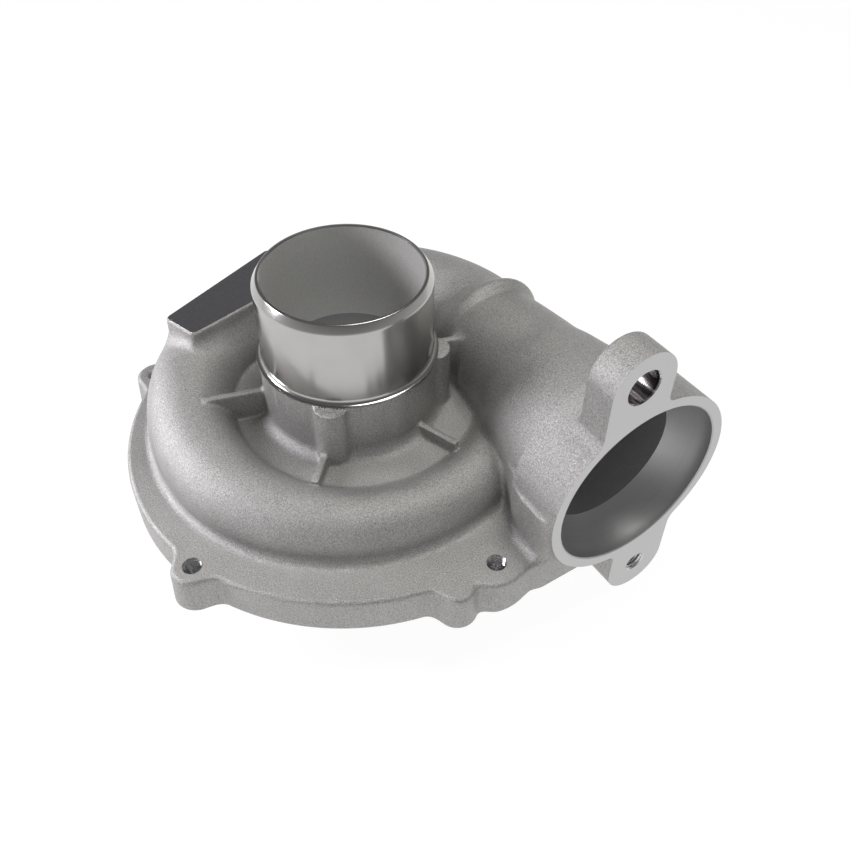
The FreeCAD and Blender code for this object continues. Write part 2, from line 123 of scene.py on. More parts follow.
# The neck with the turned spigot on it, and the floor between the neck and the scroll

NECK_RADIUS = 39.6
NECK_STOCK = 0.5
FLOOR_HEIGHT = 31.7
FLOOR_RADIUS = 60.0
COLLAR_HEIGHT = 60.9
COLLAR_RADIUS = 40.0
COLLAR_THICKNESS = 1.2
COLLAR_EDGE = 0.25
SPIGOT_STEP = 0.05
SPIGOT_FILLET = 2.1
RIM_WIDTH = 2.3
RIM_DEPTH = 3.4

# The scroll and its air passage. A turn is an angle in degrees, counted from the tongue. Each
# swell is (turn, width, rise).

TONGUE_ANGLE = 25.0
LEAST_TURN = 60.0
THROAT_TURN = 295.0
LAST_TURN = 325.0
PASSAGE_GROWTH = 1.124
PASSAGE_LEAST = 0.4
SCROLL_REACH = 75.0
SCROLL_REACH_TURN = 200.0
SCROLL_SPREAD = 75.0
SCROLL_LOWEST = 17.0
SCROLL_CLIMB = 0.0888
SCROLL_SWELLS = ((160.0, 24.0, 2.8), (248.0, 28.0, 1.2))
SCROLL_END = 12.0
SCROLL_END_EDGE = 10.0
SKIN_WALL = 6.4
SKIN_SHIFT = 1.8

# The outlet duct with its foot, bead, flare, ring and ears

THROAT_DEPTH = 18.7
THROAT_RADIUS = 31.8
THROAT_FADE = 40.0
DUCT_SLANT = 0.99
DUCT_END = 100.0
DUCT_EDGE = 1.0
BEAD_PLACE = 6.0
BEAD_TUBE = 4.2
BEAD_RISE = 3.0
RING_RADIUS = 44.7
RING_EDGE = 25.0
RING_DEPTH = 8.0
FLARE_START = 70.0
FLARE_START_RADIUS = 33.0
FLARE_END = 101.0
FLARE_SUNK = 14.0
FLARE_SLOPE = (RING_RADIUS - FLARE_START_RADIUS) / (FLARE_END - FLARE_START)
SEAM_PLACE = 90.5
SEAM_WIDTH = 0.8
SEAM_STEP = 0.4
FOOT_INSET = 0.05
FOOT_CORNER = 3.0
FOOT_FAR_STEP = 4.0
FOOT_FAR_CORNER = 4.0
EAR_RADIUS = 15.3
EAR_EDGE = 1.2

# The two columns, the ribs and the pad. Each rib is (angle in degrees, top, reach).

BOSS_RADIUS = 7.4
BOSS_CIRCLE = 37.9
BOSS_ANGLES = (-40.0, 57.0)
RIB_THICKNESS = 3.2
RIB_EDGE = 0.6
RIB_SUNK = 4.0
RIBS = (
    (-44.0, 37.5, 60.0),
    (20.5, 37.5, 60.0),
    (71.0, 57.0, 60.0),
    (160.0, 52.0, 60.0),
    (-106.5, 46.0, 66.0),
)
PAD_CORNERS = ((-67.6, -60.6), (-48.4, -53.9), (-63.6, 12.0), (-94.0, 5.0))
PAD_TOP = 58.1
PAD_CORNER = 3.0
PAD_DRAFT = 0.04
PAD_BEVEL = 0.8

# The radius of the cast fillet where each form meets the others

FILLETS = {
    "floor": 1.5, "pad": 5.0, "neck": 6.0, "rib": 1.5, "boss": 1.6, "bead": 2.2,
    "flare": 16.0, "duct": 3.5, "flange": 4.6, "ring": 4.0, "ear": 3.0,
}

# Stock that the casting has outside its finished faces

UNDERSIDE_STOCK = 1.5
FACE_STOCK = 3.0

# Machining. A thread is (major radius, pitch, depth). Below the underside's plane only the lower
# ear is left, past the two places of EAR_ROOM along X and Y.

CHAMFER = 0.5
CLEAR = 4.0
INLET_CLEAR = 1.0
DIFFUSER_LEVEL = 11.0
DIFFUSER_RADIUS = 75.0
SHROUD_RADIUS = 17.0
REGISTER_CHAMFER = 0.6
REGISTER_CLEAR = 2.0
PASSAGE_START = 20.0
DUCT_PASSAGE_START = 6.0
PASSAGE_OVERLAP = 0.5
SLOT_RADII = (63.0, 74.0)
SLOT_FOOT = 8.0
SLOT_LAST_TURN = THROAT_TURN + 38.0
LUG_THREAD = (4.0, 1.25, 20.0)
STUD_THREAD = (5.0, 1.5, 17.0)
THREAD_RIM = 0.2
DOWEL_DEPTH = 18.0
EAR_ROOM = (96.5, 48.0)
PAD_CUT = ((-100.0, -62.0), (-45.0, 14.0))

# Meshes: the distance field's grid and the faces that are kept of it

FINE_GRID = 0.8
GRID_MARGIN = 2.5
GRID_ROOM = 5.0
CASTING_TRIANGLES = 120000
SHARP_ANGLE = 34.0


# Distance fields: negative inside, millimetres


def fillet(a, b, radius):
    """Union of two fields with an arc of the radius in the corner where they meet."""
    corner = np.hypot(np.maximum(radius - a, 0), np.maximum(radius - b, 0))
    return np.maximum(radius, np.minimum(a, b)) - corner


def rounded(a, b, radius):
    """Intersection of two fields with an arc of the radius along their common edge."""
    edge = np.hypot(np.maximum(radius + a, 0), np.maximum(radius + b, 0))
    return np.minimum(-radius, np.maximum(a, b)) + edge


def smooth(share):
    """A share held between 0 and 1 that leaves and arrives gently: 3 s^2 - 2 s^3."""
    share = np.clip(share, 0.0, 1.0)
    return share * share * (3.0 - 2.0 * share)


def polar(radius, angle):
    """The point (x, y) at a radius and an angle in degrees."""
    return radius * math.cos(math.radians(angle)), radius * math.sin(math.radians(angle))


def passage_radius(turn):
    """The air passage's radius: its square grows nearly in proportion to the turn."""
    return PASSAGE_GROWTH * np.sqrt(turn) + PASSAGE_LEAST


def scroll_radius(turn):
    """The distance of the passage's centre from the wheel's axis: a parabola over the turn."""
    return SCROLL_REACH - ((turn - SCROLL_REACH_TURN) / SCROLL_SPREAD) ** 2


def scroll_height(turn):
    """The height of the passage's centre above the flange's underside: a straight climb."""
    return SCROLL_LOWEST + SCROLL_CLIMB * turn


def turn_of(x, y):
    """The turn of a point about the wheel's axis, from 0 at the tongue up to 360."""
    return np.mod(TONGUE_ANGLE - np.degrees(np.arctan2(y, x)), 360.0)


def scroll_field(x, y, z):
    """The scroll's skin: a round section on a straight-sided foot, carried about the wheel's axis.

    Each swell moves the section outwards by rise * exp(-((turn - place) / width) ** 2). Past the
    throat the skin ends inside the duct in a rounded edge.
    """
    r = np.hypot(x, y)
    turn = turn_of(x, y)
    turn = np.where(turn > LAST_TURN, turn - 360.0, turn)
    held = np.clip(turn, 0.0, THROAT_TURN)
    grown = (LEAST_TURN ** 4 + held ** 4) ** 0.25
    centre = scroll_radius(grown) - SKIN_SHIFT
    height = scroll_height(grown) - SKIN_SHIFT
    for place, width, rise in SCROLL_SWELLS:
        centre = centre + rise * np.exp(-(((turn - place) / width) ** 2))
    section = np.hypot(r - centre, np.maximum(z - height, 0)) - passage_radius(grown) - SKIN_WALL
    last = math.radians(TONGUE_ANGLE - LAST_TURN + 360.0)
    start = x * math.sin(-last) + y * math.cos(last)
    gap = np.minimum(x - SCROLL_END, start)
    return np.where(turn > THROAT_TURN, rounded(section, gap, SCROLL_END_EDGE), section)


def duct_axis(x):
    """Centre (y, z) and passage radius of the outlet duct at a place along X."""
    share = np.clip(x / (OUTLET_FACE - THROAT_DEPTH), 0.0, 1.0)
    y = scroll_radius(THROAT_TURN) * (1 - share) + OUTLET_Y * share
    z = scroll_height(THROAT_TURN) * (1 - share) + OUTLET_Z * share
    radius = passage_radius(THROAT_TURN) * (1 - share) + THROAT_RADIUS * share
    return y, z, radius


def duct_field(x, y, z):
    """The outlet duct with its shoulder bead and the flare that widens to the outlet's ring.

    Behind its parting line the flare lies deeper by SEAM_STEP.
    """
    cy, cz, passage = duct_axis(x)
    full = SKIN_SHIFT * (1.0 - smooth(x / THROAT_FADE))
    skin = passage + SKIN_WALL - SKIN_SHIFT + full
    duct = rounded((np.hypot(y - cy + full, z - cz + full) - skin) * DUCT_SLANT, -x, DUCT_EDGE)
    duct = np.maximum(duct, x - DUCT_END)
    by, bz, at_bead = duct_axis(np.float32(BEAD_PLACE))
    crest = at_bead + SKIN_WALL - SKIN_SHIFT + BEAD_RISE - BEAD_TUBE
    bead = np.hypot(x - BEAD_PLACE, np.hypot(y - by, z - bz) - crest) - BEAD_TUBE
    duct = fillet(duct, bead, FILLETS["bead"])
    away = np.hypot(y - OUTLET_Y, z - OUTLET_Z)
    cone = (away - FLARE_START_RADIUS - (x - FLARE_START) * FLARE_SLOPE) / math.hypot(1.0, FLARE_SLOPE)
    seam = SEAM_STEP * (1.0 - smooth((x - SEAM_PLACE) / SEAM_WIDTH))
    flare = rounded(cone, away - RING_RADIUS, RING_EDGE) + seam
    flare = rounded(flare, FLARE_START - FLARE_SUNK - x, DUCT_EDGE)
    return fillet(duct, flare, FILLETS["flare"])


def duct_foot_field(x, y, z):
    """The block that stands under the duct, as wide as the duct toward -Y."""
    cy, _, passage = duct_axis(x)
    side = cy - passage - SKIN_WALL + SKIN_SHIFT
    flare = np.clip(FLARE_START_RADIUS + (x - FLARE_START) * FLARE_SLOPE, 0.0, RING_RADIUS)
    side = np.minimum(side, OUTLET_Y - flare) + FOOT_INSET
    wall = rounded(side - y, x - WALL_PLANE, FOOT_CORNER)
    wall = rounded(wall, y - WALL_FAR + FOOT_FAR_STEP, FOOT_FAR_CORNER)
    return np.maximum(np.maximum(wall, -x), z - OUTLET_Z)


def lug_places():
    """The lug holes' centres, evenly spaced."""
    return [polar(LUG_CIRCLE, LUG_ANGLE + 360.0 * index / LUG_COUNT) for index in range(LUG_COUNT)]


def flange_field(x, y, z):
    """The flange plate with its lugs, blank lobe and straight side, its upper edge rounded."""
    plan = np.hypot(x, y) - FLANGE_RADIUS
    draft = LUG_DRAFT * z
    lobes = [(place, LUG_RADIUS) for place in lug_places()]
    lobes.append((polar(LOBE_CIRCLE, LOBE_ANGLE), LOBE_RADIUS))
    for (lx, ly), radius in lobes:
        plan = fillet(plan, np.hypot(x - lx, y - ly) - radius + draft, PLAN_BLEND)
    wall = rounded(x - WALL_PLANE, WALL_SIDE - y, WALL_CORNER)
    wall = rounded(wall, y - WALL_FAR, WALL_FAR_CORNER)
    plan = fillet(plan, np.maximum(wall, WALL_START - x), PLAN_BLEND)
    return rounded(plan, z - FLANGE_THICKNESS, FLANGE_EDGE)


def ear_field(x, y, z, centre):
    """One round-ended ear of the outlet's two-bolt flange, its back edges rounded."""
    cy, cz = centre
    root = OUTLET_Z + math.copysign(THROAT_RADIUS, cz - OUTLET_Z)
    low, high = min(root, cz), max(root, cz)
    outline = np.hypot(y - cy, z - np.clip(z, low, high)) - EAR_RADIUS
    return rounded(outline, OUTLET_FACE - EAR_THICKNESS - x, EAR_EDGE)


def rib_field(x, y, z, rib):
    """A thin web from the neck to the scroll, its upper edges rounded."""
    angle, top, reach = rib
    c, s = math.cos(math.radians(angle)), math.sin(math.radians(angle))
    along, across = x * c + y * s, np.abs(y * c - x * s)
    web = rounded(across - RIB_THICKNESS / 2, z - top, RIB_EDGE)
    return np.maximum(np.maximum(web, along - reach), NECK_RADIUS - RIB_SUNK - along)


def pad_field(x, y, z):
    """The four-sided pad on the scroll's back, with a bevel round its top."""
    corners = np.array(PAD_CORNERS)
    field = None
    for (ax, ay), (bx, by) in zip(corners, np.roll(corners, -1, axis=0)):
        length = math.hypot(bx - ax, by - ay)
        side = ((x - ax) * (by - ay) - (y - ay) * (bx - ax)) / length
        field = side if field is None else rounded(field, side, PAD_CORNER)
    side = field + PAD_DRAFT * (z - PAD_TOP)
    bevel = (side + z - PAD_TOP + PAD_BEVEL) / math.sqrt(2.0)
    return np.maximum(np.maximum(side, bevel), z - PAD_TOP - FACE_STOCK)


def casting_field(x, y, z):
    """The whole casting before any machining, with its stock."""
    r = np.hypot(x, y)
    floor = np.maximum(r - FLOOR_RADIUS, z - FLOOR_HEIGHT)
    scroll = fillet(scroll_field(x, y, z), floor, FILLETS["floor"])
    scroll = fillet(scroll, pad_field(x, y, z), FILLETS["pad"])
    neck = np.maximum(r - NECK_RADIUS, z - COLLAR_HEIGHT - NECK_STOCK)
    hub = fillet(scroll, neck, FILLETS["neck"])
    for rib in RIBS:
        hub = fillet(hub, rib_field(x, y, z, rib), FILLETS["rib"])
    for angle in BOSS_ANGLES:
        bx, by = polar(BOSS_CIRCLE, angle)
        boss = np.maximum(np.hypot(x - bx, y - by) - BOSS_RADIUS, z - COLLAR_HEIGHT)
        hub = fillet(hub, boss, FILLETS["boss"])
    below = -UNDERSIDE_STOCK - z
    duct = np.minimum(duct_field(x, y, z), duct_foot_field(x, y, z))
    body = fillet(np.maximum(hub, below), np.maximum(duct, below), FILLETS["duct"])
    body = fillet(body, np.maximum(flange_field(x, y, z), below), FILLETS["flange"])
    ring = np.hypot(y - OUTLET_Y, z - OUTLET_Z) - RING_RADIUS
    body = fillet(body, np.maximum(ring, FLARE_END - RING_DEPTH - x), FILLETS["ring"])
    for centre in (UPPER_EAR, LOWER_EAR):
        body = fillet(body, ear_field(x, y, z, centre), FILLETS["ear"])
    return np.maximum(body, x - OUTLET_FACE - FACE_STOCK)


# Meshes


def surface_net(field, low, step):
    """One point in each grid cell that the surface crosses, and a quad across each crossed edge.

    The point is the mean of the crossings on the cell's twelve edges.
    """
    inside = field < 0
    count = np.array(field.shape)
    crossed = np.zeros(count - 1, bool)
    corners = [(i, j, k) for i in (0, 1) for j in (0, 1) for k in (0, 1)]
    first = inside[:-1, :-1, :-1]
    for i, j, k in corners[1:]:
        crossed |= inside[i:count[0] - 1 + i, j:count[1] - 1 + j, k:count[2] - 1 + k] != first
    cells = np.argwhere(crossed)
    values = {c: field[tuple((cells + c).T)] for c in corners}
    total = np.zeros((len(cells), 3))
    hits = np.zeros(len(cells))
    for corner in corners:
        for axis in range(3):
            if corner[axis]:
                continue
            other = tuple(1 if a == axis else corner[a] for a in range(3))
            a, b = values[corner].astype(float), values[other].astype(float)
            hit = (a < 0) != (b < 0)
            share = np.where(hit, a / np.where(hit, a - b, 1.0), 0.0)
            point = np.tile(np.array(corner, float), (len(cells), 1))
            point[:, axis] += share
            total += point * hit[:, None]
            hits += hit
    points = low + step * (cells + total / hits[:, None])
    number = np.full(crossed.shape, -1, np.int32)
    number[tuple(cells.T)] = np.arange(len(cells), dtype=np.int32)
    quads = []
    for axis in range(3):
        u, v = [(1, 2), (2, 0), (0, 1)][axis]
        ahead = [slice(None)] * 3
        ahead[axis] = slice(1, None)
        behind = [slice(None)] * 3
        behind[axis] = slice(None, -1)
        change = inside[tuple(behind)] != inside[tuple(ahead)]
        edges = np.argwhere(change)
        edges = edges[(edges[:, u] > 0) & (edges[:, v] > 0)]
        outward = inside[tuple(edges.T)]
        ring = []
        for du, dv in ((1, 1), (0, 1), (0, 0), (1, 0)):
            cell = edges.copy()
            cell[:, u] -= du
            cell[:, v] -= dv
            ring.append(number[tuple(cell.T)])
        quad = np.stack(ring, axis=1)
        quad[~outward] = quad[~outward, ::-1]
        quads.append(quad)
    return points, np.concatenate(quads)


def settle(points, field, rounds=4, reach=0.8):
    """Moves points along the field's gradient until they lie on its surface.

    A step is -field * slope / slope squared, no longer than the reach.
    """
    probe = 0.05
    least_square = 0.25
    least_length = 1e-9
    for _ in range(rounds):
        slope = np.stack([
            field(*(points + probe * axis).T) - field(*(points - probe * axis).T) for axis in np.eye(3)
        ], axis=1) / (2 * probe)
        square = np.maximum((slope ** 2).sum(axis=1), least_square)
        move = -field(*points.T)[:, None] * slope / square[:, None]
        length = np.maximum(np.linalg.norm(move, axis=1, keepdims=True), least_length)
        points = points + move * np.minimum(1.0, reach / length)
    return points


def mesh_object(name, points, faces):
    """A new object in the scene from points in millimetres and faces."""
    mesh = bpy.data.meshes.new(name)
    mesh.from_pydata(np.asarray(points) * MM, [], faces)
    mesh.update()
    item = bpy.data.objects.new(name, mesh)
    bpy.context.scene.collection.objects.link(item)
    return item


def closed_tube(rings):
    """Faces of a closed surface through rings of points, with a centre point at each end.

    rings has the shape (rings, points, 3). The result is (points, faces) with quads along the
    tube and triangles in the two ends.
    """
    count, around = rings.shape[:2]
    points = np.concatenate([rings.reshape(-1, 3), rings[[0, -1]].mean(axis=1)])
    start = np.arange(count - 1)[:, None] * around
    step = np.arange(around)[None]
    after = (step + 1) % around
    quads = np.stack([start + step, start + after, start + around + after, start + around + step], axis=-1)
    quads = quads.reshape(-1, 4)
    last = (count - 1) * around
    near = np.stack([after[0], step[0], np.full(around, count * around)], axis=1)
    far = np.stack([last + step[0], last + after[0], np.full(around, count * around + 1)], axis=1)
    return points, [*quads.tolist(), *near.tolist(), *far.tolist()]


def tube_object(name, rings):
    """A closed tube as an object, its faces pointing outwards."""
    points, faces = closed_tube(np.asarray(rings, float))
    item = mesh_object(name, points, faces)
    corners = np.array([points[list(face[:3])] for face in faces])
    volume = np.einsum("ij,ij->i", corners[:, 0], np.cross(corners[:, 1], corners[:, 2])).sum()
    if volume < 0:
        item.data.flip_normals()
    return item


def apply_modifiers(body):
    """Makes what the body's modifiers do part of its mesh."""
    shown = body.evaluated_get(bpy.context.evaluated_depsgraph_get())
    made = bpy.data.meshes.new_from_object(shown)
    body.modifiers.clear()
    body.data = made


def combine(body, tool, operation):
    """Joins a closed tool to the body or takes it away, and removes the tool."""
    modifier = body.modifiers.new("combine", "BOOLEAN")
    modifier.operation = operation
    modifier.solver = "MANIFOLD"
    modifier.object = tool
    apply_modifiers(body)
    if not body.data.polygons:
        raise RuntimeError(f"{tool.name} could not be combined with {body.name}")
    bpy.data.objects.remove(tool)


def revolved(name, profile, around, centre=(0.0, 0.0), along="Z"):
    """A closed solid of revolution through (radius, height) points, its axis along Z or X.

    The point at angle a is radius * (cos a, sin a) across the axis and height along it.
    """
    profile = np.array(profile, float)
    angle = np.linspace(0, 2 * math.pi, around, endpoint=False)
    first = profile[:, :1] * np.cos(angle) + centre[0]
    second = profile[:, :1] * np.sin(angle) + centre[1]
    height = np.broadcast_to(profile[:, 1:], first.shape)
    order = (first, second, height) if along == "Z" else (height, first, second)
    return tube_object(name, np.stack(order, axis=-1))


def arc(centre, radius, start, stop, steps):
    """Points (radius, height) on an arc of a circle, angles in degrees."""
    angle = np.radians(np.linspace(start, stop, steps))
    return [(centre[0] + radius * math.cos(a), centre[1] + radius * math.sin(a)) for a in angle]


def threaded_cutter(name, mouth, drill, thread, along, around=36):
    """A threaded hole's inside: the radius follows the thread's ridge, and a cone at the mouth.

    With t the share of a pitch at height h and angle a, t = h / pitch - a / full turn, the radius
    runs from the drill's to the major one and back as a clipped triangle wave of t.
    """
    major, pitch, depth = thread
    over, steps = 1.0, 7
    crest, flank = 1.15, 2.7
    height = np.arange(-depth, over + 0.01, pitch / steps)[:, None]
    angle = np.linspace(0, 2 * math.pi, around, endpoint=False)[None]
    share = np.mod(height / pitch - angle / (2 * math.pi), 1.0)
    wave = np.clip(crest - flank * np.abs(share - 0.5), 0.0, 1.0)
    radius = np.maximum(drill + (major - drill) * wave, major + THREAD_RIM + height)
    first = radius * np.cos(angle)
    second = radius * np.sin(angle)
    level = np.broadcast_to(height, first.shape)
    order = (first, second, level) if along == "Z" else (level, first, second)
    return tube_object(name, np.stack(order, axis=-1) + np.array(mouth))


def block(name, low, high):
    """A closed block between two corners, as a cutter for flat faces."""
    (x0, y0, z0), (x1, y1, z1) = low, high
    corners = [(x0, y0), (x1, y0), (x1, y1), (x0, y1)]
    return tube_object(name, [[(x, y, z) for x, y in corners] for z in (z0, z1)])


# The casting and what is machined out of it


def grid_step():
    return FINE_GRID


def cast_body():
    """The smooth outside of the casting as one closed mesh of fine triangles."""
    step = grid_step()
    low = BOX_LOW - GRID_MARGIN * step
    count = np.ceil((BOX_HIGH + GRID_ROOM - low) / step).astype(int)
    axes = [(low[a] + step * np.arange(count[a])).astype(np.float32) for a in range(3)]
    x, y, z = np.meshgrid(*axes, indexing="ij", sparse=True)
    points, quads = surface_net(casting_field(x, y, z), low, step)
    points = settle(points.astype(np.float32), casting_field)
    body = mesh_object("housing_casting", points, quads)
    modifier = body.modifiers.new("fewer", "DECIMATE")
    modifier.ratio = min(1.0, CASTING_TRIANGLES / (2 * len(quads)))
    apply_modifiers(body)
    return body


def spigot_solid():
    """The turned hose spigot and its collar, solid to the axis and sunk in the cast neck."""
    sunk = (1.5, 8.0)
    rim_foot = ((0.0, -1.0), (0.03, -0.5), (0.15, 0.0), (0.42, 0.5))
    rim_lip = ((0.3, 0.42), (0.1, 0.12), (-0.1, 0.0))
    wall = SPIGOT_RADIUS - SPIGOT_STEP
    land = SPIGOT_RADIUS - RIM_WIDTH
    foot = SPIGOT_TOP - RIM_DEPTH
    collar_top = COLLAR_HEIGHT + COLLAR_THICKNESS
    profile = [(NECK_RADIUS - sunk[0], COLLAR_HEIGHT - sunk[1]), (NECK_RADIUS - sunk[0], COLLAR_HEIGHT)]
    profile += [(COLLAR_RADIUS - COLLAR_EDGE, COLLAR_HEIGHT), (COLLAR_RADIUS, COLLAR_HEIGHT + COLLAR_EDGE)]
    profile += [(COLLAR_RADIUS, collar_top - COLLAR_EDGE), (COLLAR_RADIUS - COLLAR_EDGE, collar_top)]
    profile += arc((wall + SPIGOT_FILLET, collar_top + SPIGOT_FILLET), SPIGOT_FILLET, 270, 180, 9)
    profile += [(wall - inward, foot + up) for inward, up in rim_foot]
    profile += [(land + outward, SPIGOT_TOP - down) for outward, down in rim_lip]
    return revolved("spigot", profile, around=288)


def turned_cutter():
    """Inlet bore, inducer bore, shroud, diffuser face and register, open at both ends."""
    inlet_edge = INLET_RADIUS + CHAMFER + INLET_CLEAR
    shroud_top = DIFFUSER_LEVEL + SHROUD_RADIUS
    shroud_centre = (INDUCER_RADIUS + SHROUD_RADIUS, shroud_top)
    mouth = REGISTER_RADIUS + REGISTER_CLEAR
    profile = [(inlet_edge, SPIGOT_TOP + INLET_CLEAR), (INLET_RADIUS, SPIGOT_TOP - CHAMFER)]
    profile += [(INLET_RADIUS, SPIGOT_TOP - INLET_DEPTH), (INDUCER_RADIUS, INDUCER_TOP)]
    profile += arc(shroud_centre, SHROUD_RADIUS, 180, 270, 14)
    profile += [(DIFFUSER_RADIUS, DIFFUSER_LEVEL), (DIFFUSER_RADIUS, REGISTER_DEPTH)]
    profile += [(REGISTER_RADIUS, REGISTER_DEPTH), (REGISTER_RADIUS, REGISTER_CHAMFER)]
    profile += [(mouth, REGISTER_CHAMFER - REGISTER_CLEAR), (mouth, -2 * UNDERSIDE_STOCK)]
    return revolved("turned_cutter", profile, around=192)


def face_mouth(radius):
    """The end of a hole's profile at the outlet's face: its chamfer, and room in front of it."""
    edge = radius + CHAMFER
    return [(radius, OUTLET_FACE - CHAMFER), (edge, OUTLET_FACE), (edge, OUTLET_FACE + CLEAR)]


def outlet_cutter():
    """The outlet's seat and lead-in cone."""
    profile = [(THROAT_RADIUS, OUTLET_FACE - THROAT_DEPTH), (OUTLET_RADIUS, OUTLET_FACE - OUTLET_DEPTH)]
    profile += face_mouth(OUTLET_RADIUS)
    return revolved("outlet_cutter", profile, around=192, centre=(OUTLET_Y, OUTLET_Z), along="X")


def passage_cutter(around=72):
    """The air passage: round sections that grow about the wheel's axis, then along the duct."""
    turn = np.linspace(PASSAGE_START, THROAT_TURN, 90)[:, None]
    angle = np.radians(TONGUE_ANGLE - turn)
    spin = np.linspace(0, 2 * math.pi, around, endpoint=False)[None]
    reach = scroll_radius(turn) + passage_radius(turn) * np.cos(spin)
    height = scroll_height(turn) + passage_radius(turn) * np.sin(spin)
    curved = np.stack([reach * np.cos(angle), reach * np.sin(angle), height], axis=-1)
    place = np.linspace(DUCT_PASSAGE_START, OUTLET_FACE - THROAT_DEPTH + PASSAGE_OVERLAP, 16)[:, None]
    y, z, radius = duct_axis(place)
    across = y + radius * np.cos(spin)
    along = np.broadcast_to(place, across.shape)
    straight = np.stack([along, across, z + radius * np.sin(spin)], axis=-1)
    return tube_object("passage_cutter", np.concatenate([curved, straight]))


def slot_cutter():
    """The ring-shaped way up from the diffuser into the passage."""
    turn = np.linspace(PASSAGE_START, SLOT_LAST_TURN, 110)[:, None]
    angle = np.radians(TONGUE_ANGLE - turn)
    near, far = SLOT_RADII
    radius = np.array([[near, far, far, near]])
    top = scroll_height(np.minimum(turn, THROAT_TURN))
    height = np.concatenate([np.full_like(top, SLOT_FOOT)] * 2 + [top] * 2, axis=1)
    rings = np.stack([radius * np.cos(angle), radius * np.sin(angle), height], axis=-1)
    return tube_object("slot_cutter", rings)


def machine(body):
    """Takes every flat, bore, passage and threaded hole out of the casting."""
    far, deep = 140.0, 10.0
    ear_x, ear_y = EAR_ROOM
    overlap = 6.5
    pad_low, pad_high = PAD_CUT
    cutters = [
        block("outlet_face", (OUTLET_FACE, -far, -far), (OUTLET_FACE + deep, far, far)),
        block("underside_left", (-far, -far, -far), (ear_x, far, 0.0)),
        block("underside_right", (ear_x - overlap, -far, -far), (far, ear_y, 0.0)),
        block("pad_face", (*pad_low, PAD_TOP), (*pad_high, PAD_TOP + deep)),
        turned_cutter(),
        passage_cutter(),
        slot_cutter(),
        outlet_cutter(),
    ]
    for index, (x, y) in enumerate(lug_places()):
        mouth = (x, y, FLANGE_THICKNESS)
        cutters.append(threaded_cutter(f"lug_thread_{index}", mouth, LUG_DRILL, LUG_THREAD, "Z"))
    mouth = (OUTLET_FACE, *LOWER_EAR)
    cutters.append(threaded_cutter("stud_thread", mouth, STUD_DRILL, STUD_THREAD, "X"))
    rings = [(DOWEL_RADIUS, OUTLET_FACE - DOWEL_DEPTH), *face_mouth(DOWEL_RADIUS)]
    cutters.append(revolved("dowel_hole", rings, around=96, centre=UPPER_EAR, along="X"))
    for cutter in cutters:
        combine(body, cutter, "DIFFERENCE")


# Finishes. The colours that a user can change are in HousingFinish, and the others are here.


def grey(level):
    """A plain grey."""
    return level, level, level, 1.0


def shaded(color, share):
    """A colour made darker or paler by a share, no brighter than white."""
    return tuple(min(1.0, share * part) for part in color[:3]) + (1.0,)


RING_TINT = (0.5, 0.49, 0.48, 1.0)
SEAT_COLORS = (grey(0.42), grey(0.62))
# Dark greys for the bores and register: painted shade inside them
BORE_SHADE_COLORS = (grey(0.22), grey(0.34))
THREAD_COLORS = (grey(0.42), grey(0.8))
PAD_COLORS = ((0.36, 0.36, 0.37, 1.0), (0.44, 0.44, 0.46, 1.0))
# A darker cast grey for the air passage: painted shade inside it
PASSAGE_SHADE_COLOR = (0.42, 0.42, 0.43, 1.0)
# A paler cast grey for the inlet: painted light inside the bore
INLET_LIT_COLOR = (0.66, 0.66, 0.64, 1.0)
# The dowel hole's near-black grey is painted shade, and its pale grey painted glints
REAMED_SHADE_AND_GLINT_COLORS = ((0.13, 0.12, 0.12, 1.0), (0.62, 0.6, 0.6, 1.0))


class Socket:
    """A shader socket. Arithmetic on it adds Math nodes, so that a pattern reads as a formula."""

    def __init__(self, paint, link):
        self.paint = paint
        self.link = link

    def math(self, operation, first, second=0.0):
        return self.paint.node("ShaderNodeMath", {"operation": operation}, {0: first, 1: second})

    def __add__(self, other):
        return self.math("ADD", self, other)

    def __radd__(self, other):
        return self.math("ADD", other, self)

    def __sub__(self, other):
        return self.math("SUBTRACT", self, other)

    def __rsub__(self, other):
        return self.math("SUBTRACT", other, self)

    def __mul__(self, other):
        return self.math("MULTIPLY", self, other)

    def __rmul__(self, other):
        return self.math("MULTIPLY", other, self)

    def __pow__(self, other):
        return self.math("POWER", self, other)

    def held(self):
        """The value held between 0 and 1."""
        return self.math("MINIMUM", self.math("MAXIMUM", self, 0.0), 1.0)

    def swing(self, reach):
        """The value's swing about a half, times a reach."""
        return (self - 0.5) * reach


